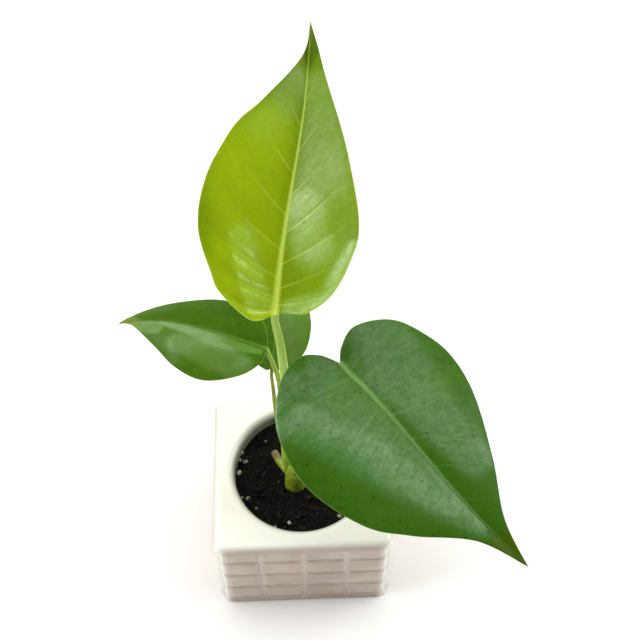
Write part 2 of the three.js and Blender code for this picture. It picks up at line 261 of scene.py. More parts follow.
class Value:
    """A node output that adds Math nodes when it is used in an expression."""

    def __init__(self, tree, output):
        self.tree = tree
        self.output = output

    def math(self, operation, *values):
        return self.tree.node(
            "ShaderNodeMath", {"operation": operation}, dict(enumerate(values)), 0)

    def __add__(self, other):
        return self.math("ADD", self, other)

    __radd__ = __add__

    def __sub__(self, other):
        return self.math("SUBTRACT", self, other)

    def __rsub__(self, other):
        return self.math("SUBTRACT", other, self)

    def __mul__(self, other):
        return self.math("MULTIPLY", self, other)

    __rmul__ = __mul__

    def __truediv__(self, other):
        return self.math("DIVIDE", self, other)

    def __rtruediv__(self, other):
        return self.math("DIVIDE", other, self)

    def __abs__(self):
        return self.math("ABSOLUTE", self)

    def fraction(self):
        return self.math("FRACT", self)

    def highest(self, other):
        return self.math("MAXIMUM", self, other)

    def rise(self, start, end):
        """0 below start, 1 above end, and smooth between them."""
        return self.tree.node(
            "ShaderNodeMapRange", {"interpolation_type": "SMOOTHSTEP"},
            {"Value": self, "From Min": start, "From Max": end}, 0)


class Tree:
    """A node tree of a material or of Geometry Nodes."""

    def __init__(self, tree):
        self.tree = tree

    def plug(self, value, socket):
        """Links a Value to a socket, or sets the socket to a plain value."""
        if isinstance(value, Value):
            self.tree.links.new(value.output, socket)
        else:
            socket.default_value = value

    def node(self, kind, settings=None, inputs=None, output=0):
        """Adds a node: its settings first, then its sockets, and returns one output."""
        node = self.tree.nodes.new(kind)
        for name, setting in (settings or {}).items():
            setattr(node, name, setting)
        for name, value in (inputs or {}).items():
            self.plug(value, node.inputs[name])
        return Value(self, node.outputs[output])

    def mix(self, factor, first, second):
        """Colour between first and second."""
        return self.node(
            "ShaderNodeMix", {"data_type": "RGBA"}, {0: factor, 6: first, 7: second}, 2)

    def attribute(self, name):
        return self.node("ShaderNodeAttribute", {"attribute_name": name}, {}, "Fac")

    def place(self):
        """Place on the object, metres."""
        return self.node("ShaderNodeTexCoord", output="Object")

    def part(self, vector, axis):
        """One coordinate of a vector: X, Y or Z."""
        return self.node("ShaderNodeSeparateXYZ", {}, {0: vector}, axis)

    def noise(self, size, detail=2.0, roughness=0.5):
        """Noise with blobs of about size millimetres."""
        return self.node("ShaderNodeTexNoise", {}, {
            "Vector": self.place(), "Scale": 1 / (size * MM), "Detail": detail,
            "Roughness": roughness}, "Fac")

    def cells(self, size, feature="F1", output="Distance"):
        """Voronoi cells of about size millimetres."""
        return self.node(
            "ShaderNodeTexVoronoi", {"feature": feature},
            {"Vector": self.place(), "Scale": 1 / (size * MM)}, output)

    def picks(self, size):
        """A random value from 0 to 1 in each cell of about size millimetres."""
        return self.node("ShaderNodeSeparateColor", {}, {0: self.cells(size, output="Color")}, 0)

    def scaled(self, vector, scale):
        """Vector times a value."""
        return self.node(
            "ShaderNodeVectorMath", {"operation": "SCALE"}, {0: vector, "Scale": scale}, 0)

    def bump(self, height, depth):
        """Normal of a height field whose value 1 stands depth millimetres high."""
        return self.node(
            "ShaderNodeBump", {}, {"Height": height, "Distance": depth * MM, "Strength": 1.0},
            "Normal")


def colour(red, green, blue):
    """Linear colour from the 0 to 255 values of a screen."""
    return tuple(((c / 255 + 0.055) / 1.055) ** 2.4 for c in (red, green, blue)) + (1.0,)


def finish_material(name, build, **fixed):
    """Material whose Principled node takes build's sockets and the fixed values."""
    material = bpy.data.materials.new(name)
    material.use_nodes = True
    tree = Tree(material.node_tree)
    shader = material.node_tree.nodes["Principled BSDF"]
    for socket, value in {**fixed, **build(tree)}.items():
        tree.plug(value, shader.inputs[socket.replace("_", " ")])
    return material


# Materials
def glaze_material(s):
    """Cream glaze with faint clouds and ripples. The tiled sides carry painted shade and a painted
    pinkish reflection in blotches, the level grooves more painted shade, the upright grooves a
    painted highlight and the well's wall above the soil painted shade."""

    def build(t):
        cloud = t.noise(18, 3)
        streak = t.noise(13, 2)
        tone = t.mix(cloud.rise(0.35, 0.7) * 0.5, tuple(s.glaze_colour), tuple(s.glaze_warm_and_highlight))
        # Painted shade with a painted pinkish reflection on the tiled sides, blotched by the streak
        # noise.
        painted_side_shade = t.mix(streak.rise(0.3, 0.7) * 0.6, tuple(s.glaze_side_shade), tuple(s.glaze_deep_shade))
        tone = t.mix(t.attribute("side"), tone, painted_side_shade)
        # Painted shade in the level grooves.
        tone = t.mix(t.attribute("level_groove") * 0.3, tone, tuple(s.glaze_deep_shade))
        # Painted highlight in the upright grooves.
        tone = t.mix(t.attribute("upright_groove") * 0.38, tone, tuple(s.glaze_warm_and_highlight))
        # Painted shade on the well's wall above the soil, greenish grey.
        tone = t.mix(t.attribute("well") * (0.6 + streak * 0.4), tone, tuple(s.well_shade))
        return {
            "Base_Color": tone,
            "Roughness": 0.14 + cloud * 0.1,
            "Normal": t.bump(t.noise(6, 2) + t.noise(0.7, 2) * 0.06, 0.14),
        }

    return finish_material("cream_glaze", build, Coat_Weight=0.3, Coat_Roughness=0.06)


def soil_material():
    """Damp peat: nearly black, with brown crumbs, fibres and a few pale specks."""

    def build(t):
        crumb = t.noise(1.6, 5, 0.65)
        tone = t.mix(crumb.rise(0.35, 0.7), colour(5, 5, 4), colour(22, 19, 14))
        tone = t.mix(t.picks(1.1).rise(0.92, 0.98) * 0.5, tone, colour(54, 44, 32))
        return {
            "Base_Color": tone,
            "Roughness": 0.65 + crumb * 0.3,
            "Normal": t.bump(t.noise(0.9, 6, 0.7), 0.7),
        }

    return finish_material("damp_soil", build, Specular_IOR_Level=0.12)


def bark_material():
    """Wet bark and peat bits, dark brown with paler fibres."""

    def build(t):
        grain = t.noise(1.0, 4, 0.6)
        tone = t.mix(grain.rise(0.4, 0.65), colour(8, 7, 6), colour(34, 29, 23))
        return {"Base_Color": tone, "Roughness": 0.6 + grain * 0.3, "Normal": t.bump(grain, 0.4)}

    return finish_material("wet_bark", build, Specular_IOR_Level=0.2)


def perlite_material():
    """White glassy foam grains with pores, a little stained by the soil."""

    def build(t):
        pores = t.cells(0.35)
        stain = t.noise(1.4, 3)
        tone = t.mix(stain.rise(0.42, 0.7), colour(190, 184, 166), colour(104, 92, 70))
        return {"Base_Color": tone, "Roughness": 0.8, "Normal": t.bump(pores, 0.2)}

    return finish_material("perlite", build)


def stem_material():
    """Yellow-green stem, browner at its rings and at the dried end of its stub."""

    def build(t):
        dried = t.part(t.place(), "Y").rise(3.6 * MM, 5.6 * MM)
        patch = t.noise(2.2, 3)
        rings = t.node(
            "ShaderNodeTexWave", {"bands_direction": "Z"},
            {"Vector": t.place(), "Scale": 90.0, "Distortion": 3.0, "Detail": 2.0}, "Fac")
        tone = t.mix(patch.rise(0.35, 0.7), colour(160, 184, 44), colour(124, 154, 28))
        tone = t.mix(rings.rise(0.85, 1.0) * 0.35, tone, colour(120, 104, 50))
        tone = t.mix(dried, tone, colour(122, 110, 68))
        return {
            "Base_Color": tone,
            "Roughness": 0.38 + dried * 0.4,
            "Normal": t.bump(rings * 0.4 + t.noise(0.6, 4), 0.16),
        }

    return finish_material(
        "stem_skin", build, Subsurface_Weight=0.1, Subsurface_Radius=(0.8 * MM,) * 3)


def stalk_material(name, bright, dull):
    """Ribbed leaf stalk: fine lengthwise stripes between two greens and pale flecks."""

    def build(t):
        stripes = t.node(
            "ShaderNodeTexNoise", {"noise_dimensions": "1D"},
            {"W": t.attribute("around") * 9.0, "Detail": 2.0}, "Fac")
        flecks = t.cells(0.9)
        cloud = t.noise(9, 2)
        tone = t.mix(stripes.rise(0.35, 0.65) * 0.6 + cloud.rise(0.4, 0.7) * 0.4, bright, dull)
        tone = t.mix((1 - flecks.rise(0.08, 0.16)) * 0.35, tone, colour(190, 205, 120))
        return {
            "Base_Color": tone,
            "Roughness": 0.34 + stripes * 0.12,
            "Normal": t.bump(stripes + t.noise(0.5, 3) * 0.3, 0.1),
        }

    return finish_material(name, build, Subsurface_Weight=0.15, Subsurface_Radius=(1.0 * MM,) * 3)


def leaf_material(name, deep, light):
    """Leaf skin: mottled green with a pale midrib, faint side veins, a net of fine veins and a
    thin pale edge. Fine ridges run along the side veins. The underside is paler and duller."""
    skin = SKINS[name]
    upper, pale, painted_sheen, tip, vein, rim, under = (
        colour(*skin[part]) for part in ("upper", "pale", "painted_sheen", "tip", "vein", "rim", "under"))

    def build(t):
        rib_mm = t.attribute("rib_mm")
        edge_mm = t.attribute("edge_mm")
        vein_place = t.attribute("vein")
        pitch_mm = t.attribute("pitch_mm")
        below = t.attribute("below")
        along = t.attribute("along")
        across = rib_mm / (rib_mm + edge_mm + 0.01)
        to_vein_mm = abs(vein_place.fraction() - 0.5) * pitch_mm
        to_fine_mm = abs((vein_place * 3.0).fraction() - 0.5) * pitch_mm / 3.0
        inner = 1 - across.rise(0.1, 0.75)
        ribbed = 1 - (rib_mm / t.attribute("rib_half_mm")).rise(0.1, 1.5)
        veined = (1 - to_vein_mm.rise(0.05, 0.55)) * inner
        fine = (1 - to_fine_mm.rise(0.03, 0.2)) * inner
        mesh_line = 1 - t.cells(1.7, "DISTANCE_TO_EDGE").rise(0.02, 0.1)
        mesh_fine = 1 - t.cells(0.8, "DISTANCE_TO_EDGE").rise(0.02, 0.12)
        cloud = t.noise(17, 4, 0.55)
        mottle = t.noise(2.2, 4, 0.6)
        grain = t.noise(0.9, 3, 0.6)
        ridge_place = t.node(
            "ShaderNodeCombineXYZ", {}, {"X": vein_place * 9.0, "Y": rib_mm * 0.09})
        ridges = t.node(
            "ShaderNodeTexNoise", {}, {"Vector": ridge_place, "Scale": 1.0, "Detail": 3.0}, "Fac")
        # Painted light: the pale patches lighten the green where light and sheen fall.
        painted_light_patch = t.attribute("pale")
        # Painted glint streaks between the side veins, in the rim's green, in the strongest pale
        # patch.
        painted_glints = 1 - abs((vein_place * 2.0).fraction() - 0.5).rise(0.08, 0.3)
        painted_glints = painted_glints * ridges.rise(0.4, 0.55) * t.noise(3.5, 2).rise(0.36, 0.52)
        tone = t.mix(cloud.rise(0.3, 0.7) * 0.7 + mottle.rise(0.35, 0.7) * 0.3,
                     tuple(deep), tuple(light))
        tone = t.mix(along.rise(0.42, 0.78) * 0.85, tone, upper)
        speckle = grain.rise(0.35, 0.6) * 0.25 + mottle.rise(0.35, 0.65) * 0.3
        # The wax coat sets the gloss, and the same values mix a painted sheen green into the
        # colour.
        wax_and_sheen = t.attribute("wax_and_sheen") * (0.35 + speckle + ridges.rise(0.35, 0.6) * 0.2)
        tone = t.mix(painted_light_patch * (0.55 + mottle * 0.4), tone, pale)
        tone = t.mix(painted_light_patch.rise(0.7, 0.95) * painted_glints * 0.8, tone, rim)
        # Painted sheen: the waxy patches' green is drawn towards the sheen green.
        tone = t.mix(wax_and_sheen * 0.6, tone, painted_sheen)
        tone = t.mix(along.rise(0.885, 0.905), tone, tip)
        lines = mesh_line + mesh_fine * 0.5 + fine * 0.6
        tone = t.mix(lines * skin["net"], tone, vein)
        tone = t.mix(veined * skin["side_veins"], tone, vein)
        tone = t.mix(ribbed * (0.9 - along * skin["rib_fade"]), tone, vein)
        dots = (1 - t.cells(2.6).rise(0.0, 0.3)) * t.picks(2.6).rise(0.6, 0.95)
        tone = t.mix(dots * skin["specks"], tone, colour(26, 50, 14))
        tone = t.mix((1 - edge_mm.rise(0.12, 0.4)) * (0.85 - along), tone, rim)
        tone = t.mix(below, tone, under)
        relief = ridges * (1 - along.rise(0.55, 0.8)) * 0.4 + grain * 0.35 + mottle * 0.35
        relief = relief - veined * 0.15 - dots * 0.3
        return {
            "Base_Color": tone,
            "Roughness": 0.3 + mottle * 0.16 + below * 0.2,
            "Coat_Weight": wax_and_sheen * (1 - below),
            "Normal": t.bump(relief * (1 - below * 0.9), 0.12),
        }

    return finish_material(
        name + "_leaf_skin", build, Subsurface_Weight=skin["glow"],
        Subsurface_Radius=(0.5 * MM, 0.9 * MM, 0.2 * MM), Specular_IOR_Level=0.05,
        Coat_Roughness=0.18)


def floor_material():
    """Plain pale studio floor."""

    def build(t):
        cloud = t.noise(900, 2)
        return {
            "Base_Color": t.mix(cloud * 0.2, colour(252, 252, 251), colour(248, 248, 247)),
            "Roughness": 0.75,
        }

    return finish_material("pale_floor", build)


# Meshes
def mesh_object(name, points, faces, material, attributes=None):
    """Smooth closed mesh from points in millimetres, with a value of each attribute a point."""
    mesh = bpy.data.meshes.new(name)
    mesh.from_pydata((np.asarray(points) * MM).tolist(), [], faces)
    for key, values in (attributes or {}).items():
        layer = mesh.attributes.new(key, "FLOAT", "POINT")
        layer.data.foreach_set("value", np.asarray(values, np.float32).ravel())
    work = bmesh.new()
    work.from_mesh(mesh)
    bmesh.ops.remove_doubles(work, verts=work.verts, dist=1e-7)
    bmesh.ops.recalc_face_normals(work, faces=work.faces)
    work.to_mesh(mesh)
    work.free()
    mesh.shade_smooth()
    mesh.materials.append(material)
    piece = bpy.data.objects.new(name, mesh)
    bpy.context.scene.collection.objects.link(piece)
    return piece


def ring_faces(rings, count):
    """Quads between neighbouring rings of count points, closed round each ring."""
    return [
        (r * count + i, r * count + (i + 1) % count, (r + 1) * count + (i + 1) % count,
         (r + 1) * count + i)
        for r in range(rings - 1) for i in range(count)
    ]


def place_piece(piece, slot, *nodes):
    """Hangs the piece on the body it rides on and hides the frame's parts that it stands for. The
    slot, naming where its finish comes from, is not used.
    """
    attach(piece, BODY)
    if nodes:
        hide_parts(*nodes)


def smooth_line(points, steps):
    """Catmull-Rom line through the points, steps places to a span, and each place's span."""
    points = np.array(points, float)
    ends = np.concatenate([points[:1], points, points[-1:]])
    spans = np.linspace(0, len(points) - 1, (len(points) - 1) * steps + 1)
    line = []
    for place in spans:
        i = min(int(place), len(points) - 2)
        t = place - i
        a, b, c, d = ends[i:i + 4]
        out, into = (c - a) / 2, (d - b) / 2
        line.append(
            (2 * b - 2 * c + out + into) * t**3 + (3 * c - 3 * b - 2 * out - into) * t**2
            + out * t + b)
    return np.array(line), spans


def even_places(line, count):
    """Count places spread evenly by length along a line."""
    lengths = np.concatenate([[0], np.cumsum(np.linalg.norm(np.diff(line, axis=0), axis=1))])
    wanted = np.linspace(0, lengths[-1], count)
    return np.stack([np.interp(wanted, lengths, line[:, k]) for k in range(line.shape[1])], 1)


# Geometry Nodes
def geometry_tree(name, sockets):
    """Empty Geometry Nodes tree with a geometry in and out and the named inputs, as a Tree and
    its inputs by name."""
    group = bpy.data.node_groups.new(name, "GeometryNodeTree")
    group.interface.new_socket("Geometry", in_out="INPUT", socket_type="NodeSocketGeometry")
    for label, kind in sockets.items():
        group.interface.new_socket(label, in_out="INPUT", socket_type="NodeSocket" + kind)
    group.interface.new_socket("Geometry", in_out="OUTPUT", socket_type="NodeSocketGeometry")
    tree = Tree(group)
    given = group.nodes.new("NodeGroupInput")
    inputs = {socket.name: Value(tree, socket) for socket in given.outputs if socket.name}
    return tree, inputs


def close_tree(tree, geometry, material):
    """Ends a tree in Realize Instances and Set Material, and returns its node group."""
    real = tree.node("GeometryNodeRealizeInstances", {}, {0: geometry})
    done = tree.node("GeometryNodeSetMaterial", {}, {"Geometry": real, "Material": material})
    tree.plug(done, tree.tree.nodes.new("NodeGroupOutput").inputs[0])
    return tree.tree


def run_tree(group, data, name, values, material):
    """Runs a tree on an object's data and returns the plain mesh object that it makes."""
    carrier = bpy.data.objects.new(name + "_carrier", data)
    bpy.context.scene.collection.objects.link(carrier)
    modifier = carrier.modifiers.new(name, "NODES")
    modifier.node_group = group
    for item in group.interface.items_tree:
        if item.in_out == "INPUT" and item.name in values:
            modifier[item.identifier] = values[item.name]
    graph = bpy.context.evaluated_depsgraph_get()
    mesh = bpy.data.meshes.new_from_object(carrier.evaluated_get(graph), depsgraph=graph)
    carrier.modifiers.remove(modifier)
    bpy.data.objects.remove(carrier)
    mesh.name = name
    mesh.materials.clear()
    mesh.materials.append(material)
    mesh.shade_smooth()
    piece = bpy.data.objects.new(name, mesh)
    bpy.context.scene.collection.objects.link(piece)
    return piece


def tile_relief_tree(material):
    """Presses rows and columns of rounded grooves into the pot's sides."""
    t, given = geometry_tree("tile_relief", {
        "Row Pitch": "Float", "Column Pitch": "Float", "Groove Width": "Float",
        "Groove Depth": "Float", "Pillow": "Float"})

    def named(name, kind="FLOAT"):
        return t.node("GeometryNodeInputNamedAttribute", {"data_type": kind}, {"Name": name})

    def to_line(place, pitch):
        return abs((place / pitch + 0.5).fraction() - 0.5) * pitch

    half = given["Groove Width"] * 0.5
    to_column = to_line(named("along_side"), given["Column Pitch"])
    to_row = to_line(named("from_top"), given["Row Pitch"])
    upright = (1 - (to_column / half).rise(0.0, 1.0)) * named("relief")
    level = (1 - (to_row / half).rise(0.0, 1.0)) * named("relief")
    crown_side = 1 - (to_column / (given["Column Pitch"] * 0.5)).rise(0.0, 1.0)
    crown_row = 1 - (to_row / (given["Row Pitch"] * 0.5)).rise(0.0, 1.0)
    swell = crown_side.highest(crown_row) * given["Pillow"]
    sunk = upright.highest(level * 0.5) * given["Groove Depth"] + swell * named("relief")
    offset = t.scaled(named("outward", "FLOAT_VECTOR"), sunk * -MM)
    moved = t.node("GeometryNodeSetPosition", {}, {"Geometry": given["Geometry"], "Offset": offset})
    for name, value in (("upright_groove", upright), ("level_groove", level)):
        moved = t.node(
            "GeometryNodeStoreNamedAttribute", {"data_type": "FLOAT", "domain": "POINT"},
            {"Geometry": moved, "Name": name, "Value": value})
    return close_tree(t, moved, material)


def stalk_tree(material):
    """Sweeps a round section with a channel on one side along a line with its own radius."""
    t, given = geometry_tree("stalk_sweep", {
        "Sides": "Int", "Channel Depth": "Float", "Channel Side": "Vector"})
    ring = t.node(
        "GeometryNodeCurvePrimitiveCircle", {"mode": "RADIUS"},
        {"Resolution": given["Sides"], "Radius": 1.0}, "Curve")
    reach = t.part(t.node("GeometryNodeInputPosition"), "X")
    inward = reach.rise(0.72, 1.0) * given["Channel Depth"] * -1.0
    shift = t.node("ShaderNodeCombineXYZ", {}, {"X": inward})
    section = t.node("GeometryNodeSetPosition", {}, {"Geometry": ring, "Offset": shift})
    turn = t.node("GeometryNodeSplineParameter", {}, {}, "Factor")
    section = t.node(
        "GeometryNodeStoreNamedAttribute", {"data_type": "FLOAT", "domain": "POINT"},
        {"Geometry": section, "Name": "around", "Value": turn})
    line = t.node(
        "GeometryNodeSetCurveNormal", {"mode": "FREE"},
        {"Curve": given["Geometry"], "Normal": given["Channel Side"]})
    sweep = t.node("GeometryNodeCurveToMesh", {}, {
        "Curve": line, "Profile Curve": section, "Fill Caps": True,
        "Scale": t.node("GeometryNodeInputRadius")})
    return close_tree(t, sweep, material)


def grain_tree(name, material, detail):
    """Sets a rough grain of each point's own size on a mesh's points, turned and stretched at
    random."""
    t, given = geometry_tree(name, {
        "Roughness": "Float", "Flatness": "Float", "Seed": "Int"})
    grain = t.node("GeometryNodeMeshIcoSphere", {}, {"Radius": 0.5 * MM, "Subdivisions": detail})
    lump = t.node(
        "ShaderNodeTexNoise", {},
        {"Vector": t.node("GeometryNodeInputPosition"), "Scale": 2 / MM, "Detail": 2.0}, "Fac")
    push = t.scaled(t.node("GeometryNodeInputNormal"), (lump - 0.5) * given["Roughness"] * MM)
    grain = t.node("GeometryNodeSetPosition", {}, {"Geometry": grain, "Offset": push})
    turn = t.node(
        "FunctionNodeRandomValue", {"data_type": "FLOAT_VECTOR"},
        {0: (-math.pi,) * 3, 1: (math.pi,) * 3, "Seed": given["Seed"]}, 0)
    size = t.node("GeometryNodeInputNamedAttribute", {"data_type": "FLOAT"}, {"Name": "size"})
    stretch = t.node(
        "FunctionNodeRandomValue", {"data_type": "FLOAT_VECTOR"},
        {0: (0.7, 0.7, 0.5), 1: (1.2, 1.2, 1.0), "Seed": given["Seed"] + 7.0}, 0)
    flat = t.node("ShaderNodeCombineXYZ", {}, {"X": 1.0, "Y": 1.0, "Z": given["Flatness"]})
    stretch = t.node("ShaderNodeVectorMath", {"operation": "MULTIPLY"}, {0: stretch, 1: flat}, 0)
    points = t.node("GeometryNodeMeshToPoints", {}, {0: given["Geometry"], "Radius": 0.1 * MM})
    spread = t.node("GeometryNodeInstanceOnPoints", {}, {
        "Points": points, "Instance": grain, "Rotation": turn, "Scale": t.scaled(stretch, size)})
    return close_tree(t, spread, material)


# Pot
def pot_rings(s):
    """Rings of the pot's shell from the middle of its foot, up its sides, over its rim and down
    into its well: every point, the direction out and the place along its side for each point of a
    ring, how far the relief, the sides' painted shade and the well wall's painted shade go at every
    point, the number of rings and the number of points in one."""
    tile = POT_WIDTH / s.tile_columns
    half = np.concatenate([GROOVE_STEPS, [tile / 2]])
    one = np.concatenate([half, (tile - half[:-1])[::-1]])[:-1]
    side = np.concatenate([one + k * tile for k in range(s.tile_columns)])
    reach = POT_WIDTH / 2 - POT_CORNER
    arc = POT_CORNER * math.pi / 2
    full = 2 * reach + arc
    places = side / POT_WIDTH * full

    def section(radius):
        """Rounded square whose corners have the radius, and the direction out of it."""
        spots, outs = [], []
        for quarter in range(4):
            turn = quarter * math.pi / 2
            for place in places:
                if place < arc / 2 or place > full - arc / 2:
                    before = place < arc / 2
                    angle = (place + arc / 2 if before else place - (full - arc / 2)) / POT_CORNER
                    angle = angle - math.pi / 2 if before else angle
                    x = reach
                    y = -reach if before else reach
                    out = (math.cos(angle), math.sin(angle))
                else:
                    x, y, out = reach, place - arc / 2 - reach, (1.0, 0.0)
                x, y = x + radius * out[0], y + radius * out[1]
                spots.append((x * math.cos(turn) - y * math.sin(turn),
                              x * math.sin(turn) + y * math.cos(turn)))
                outs.append((out[0] * math.cos(turn) - out[1] * math.sin(turn),
                             out[0] * math.sin(turn) + out[1] * math.cos(turn)))
        return np.array(spots), np.array(outs)

    _, outs = section(POT_CORNER)
    count = len(outs)
    along = np.tile(side, 4)
    rings, finish = [], []

    # side is the share of the sides' painted shade and painted pinkish reflection, well the share
    # of the well wall's painted shade.
    def add(spots, z, relief=0.0, side=0.0, well=0.0):
        rings.append(np.column_stack([spots, np.full(count, z)]))
        finish.append((relief, side, well))

    add(np.zeros((count, 2)), 0)
    add(section(POT_CORNER - FOOT_BEVEL)[0] * 0.5, 0)
    for angle in np.linspace(0, math.pi / 2, 6):
        inset = FOOT_BEVEL * (1 - math.sin(angle))
        add(section(POT_CORNER - inset)[0], FOOT_BEVEL * (1 - math.cos(angle)), side=1.0)
    rows = []
    row_half = np.concatenate([GROOVE_STEPS[:-1], [TILE_ROW_PITCH / 2]])
    row = np.concatenate([row_half, (TILE_ROW_PITCH - row_half[:-1])[::-1]])[:-1]
    for k in range(s.tile_rows):
        rows.extend(row + k * TILE_ROW_PITCH)
    low = FOOT_BEVEL + FLAT_BAND
    high = POT_HEIGHT - RIM_FILLET - FLAT_BAND
    for drop in sorted(rows, reverse=True):
        z = POT_HEIGHT - drop
        if low < z < high:
            inside = min(z - low, high - z)
            strength = min(1.0, inside / RELIEF_FADE + RELIEF_LEAST)
            add(section(POT_CORNER)[0], z, strength, side=1.0)
    # Over the rim's fillet the sides' painted shade fades out towards the top.
    for angle in np.linspace(0, math.pi / 2, 9):
        inset = RIM_FILLET * (1 - math.cos(angle))
        add(section(POT_CORNER - inset)[0], POT_HEIGHT - RIM_FILLET * (1 - math.sin(angle)),
            side=max(0.0, math.cos(angle) * 2 - 1))
    square = section(POT_CORNER - RIM_FILLET)[0]
    angles = np.arctan2(square[:, 1], square[:, 0])
    circle = np.column_stack([np.cos(angles), np.sin(angles)])
    mouth = WELL_RADIUS + LIP_FILLET
    for share in (0.08, 0.3, 0.6, 0.9):
        add(square * (1 - share) + circle * mouth * share, POT_HEIGHT)
    # The well wall's painted shade grows over the lip and is full down the wall.
    for angle in np.linspace(math.pi / 2, 0, 9):
        add(circle * (WELL_RADIUS + LIP_FILLET * (1 - math.cos(angle))),
            POT_HEIGHT - LIP_FILLET * (1 - math.sin(angle)), well=math.cos(angle) ** 1.5)
    for z in (POT_HEIGHT - 5, SOIL_LEVEL, SOIL_LEVEL - 8, WELL_FLOOR):
        add(circle * WELL_RADIUS, z, well=1.0)
    add(circle * 0, WELL_FLOOR)
    points = np.concatenate(rings)
    outward = np.column_stack([outs, np.zeros(count)])
    return points, outward, along, np.repeat(finish, count, axis=0).T, len(rings), count


def make_pot(s):
    material = glaze_material(s)
    points, outward, along, (relief, side, well), rings, count = pot_rings(s)
    # The sides' painted shade fades out just before each corner.
    flank = np.clip((POT_WIDTH / 2 - 1 - np.abs(along - POT_WIDTH / 2)) / 3, 0, 1)
    shell = mesh_object("pot_shell", points, ring_faces(rings, count), material, {
        "along_side": np.tile(along, rings),
        "from_top": POT_HEIGHT - points[:, 2],
        "relief": relief,
        "side": side * np.tile(flank, rings),
        "well": well,
        "out_x": np.tile(outward[:, 0], rings),
        "out_y": np.tile(outward[:, 1], rings),
    })
    mesh = shell.data
    out = mesh.attributes.new("outward", "FLOAT_VECTOR", "POINT")
    parts = [np.zeros(len(mesh.vertices), np.float32) for _ in range(2)]
    mesh.attributes["out_x"].data.foreach_get("value", parts[0])
    mesh.attributes["out_y"].data.foreach_get("value", parts[1])
    out.data.foreach_set("vector", np.column_stack([*parts, 0 * parts[0]]).ravel())
    bpy.data.objects.remove(shell)
    piece = run_tree(tile_relief_tree(material), mesh, "glazed_pot", {
        "Row Pitch": TILE_ROW_PITCH,
        "Column Pitch": POT_WIDTH / s.tile_columns,
        "Groove Width": s.groove_width / MM,
        "Groove Depth": s.groove_depth / MM,
        "Pillow": s.tile_pillow / MM,
    }, material)
    place_piece(piece, "glaze", "pot")


# Soil
def value_noise(x, y, size, seed):
    """Smooth noise from -0.5 to 0.5 with lumps of the size."""
    cells = 64
    draw = np.random.default_rng(seed).random((cells, cells))
    i, j = np.floor(x / size).astype(int), np.floor(y / size).astype(int)
    a, b = x / size - i, y / size - j
    a, b = a * a * (3 - 2 * a), b * b * (3 - 2 * b)
    left, right = i % cells, (i + 1) % cells
    front, back = j % cells, (j + 1) % cells
    near = draw[left, front] * (1 - a) + draw[right, front] * a
    far = draw[left, back] * (1 - a) + draw[right, back] * a
    return near * (1 - b) + far * b - 0.5


def soil_height(x, y):
    """Height of the soil's top, millimetres."""
    lumps = value_noise(x, y, 4.0, 3) * 1.3 + value_noise(x, y, 1.7, 5) * 0.8
    return SOIL_LEVEL + lumps + value_noise(x, y, 0.8, 8) * 0.45


def make_soil():
    count, steps = 200, 70
    radius = WELL_RADIUS - SOIL_WALL_GAP
    angles = np.linspace(0, 2 * math.pi, count, endpoint=False)
    circle = np.column_stack([np.cos(angles), np.sin(angles)])
    low = np.full(count, WELL_FLOOR + SOIL_FLOOR_GAP)
    rings = [np.column_stack([circle * 0, low]), np.column_stack([circle * radius, low])]
    for reach in np.linspace(radius, 0, steps):
        spots = circle * reach
        rings.append(np.column_stack([spots, soil_height(spots[:, 0], spots[:, 1])]))
    piece = mesh_object(
        "potting_soil", np.concatenate(rings), ring_faces(len(rings), count), soil_material())
    place_piece(piece, "soil", "soil")


def grain_points(spots, sizes, sunk):
    """Loose points on the soil's top with the size of the grain that each one holds."""
    spots, sizes = np.array(spots, float), np.array(sizes, float)
    height = soil_height(spots[:, 0], spots[:, 1]) - sizes * sunk
    mesh = bpy.data.meshes.new("grain_points")
    mesh.from_pydata((np.column_stack([spots, height]) * MM).tolist(), [], [])
    layer = mesh.attributes.new("size", "FLOAT", "POINT")
    layer.data.foreach_set("value", sizes.astype(np.float32))
    return mesh


def scattered(count, seed, smallest, largest):
    """Random places over the soil, clear of the stem, with random sizes."""
    draw = np.random.default_rng(seed)
    reach = (WELL_RADIUS - GRAIN_WALL_GAP) * np.sqrt(draw.random(count))
    angle = draw.random(count) * 2 * math.pi
    spots = np.column_stack([reach * np.cos(angle), reach * np.sin(angle)])
    sizes = smallest + (largest - smallest) * draw.random(count) ** 2.5
    clear = np.linalg.norm(spots - np.array(STEM_LINE[1][:2]), axis=1) > GRAIN_STEM_GAP
    return spots[clear], sizes[clear]


def make_grains(s):
    bark = bark_material()
    tree = grain_tree("crumb_scatter", bark, 2)
    spots, sizes = scattered(s.crumb_count, 11, 0.5, 1.7)
    crumbs = run_tree(tree, grain_points(spots, sizes, 0.1), "peat_crumbs", {
        "Roughness": 0.5, "Flatness": 0.8, "Seed": 4}, bark)
    place_piece(crumbs, "soil")
    spots, sizes = scattered(s.bark_count, 23, 1.8, 4.2)
    chips = run_tree(tree, grain_points(spots, sizes, 0.0), "bark_chips", {
        "Roughness": 0.35, "Flatness": 0.4, "Seed": 9}, bark)
    place_piece(chips, "soil")
    white = perlite_material()
    spots = [spot[:2] for spot in PERLITE_SPOTS]
    sizes = [spot[2] for spot in PERLITE_SPOTS]
    perlite = run_tree(
        grain_tree("perlite_scatter", white, 3), grain_points(spots, sizes, -0.25),
        "perlite_grains", {"Roughness": 0.95, "Flatness": 0.8, "Seed": 2}, white)
    place_piece(perlite, "soil")


# Stem and stalks
def curve_data(name, line, radii):
    """Open line as a curve with a radius at each point."""
    data = bpy.data.curves.new(name, "CURVE")
    data.dimensions = "3D"
    spline = data.splines.new("POLY")
    spline.points.add(len(line) - 1)
    for point, place, radius in zip(spline.points, line, radii):
        point.co = (*(place * MM), 1)
        point.radius = radius * MM
    return data


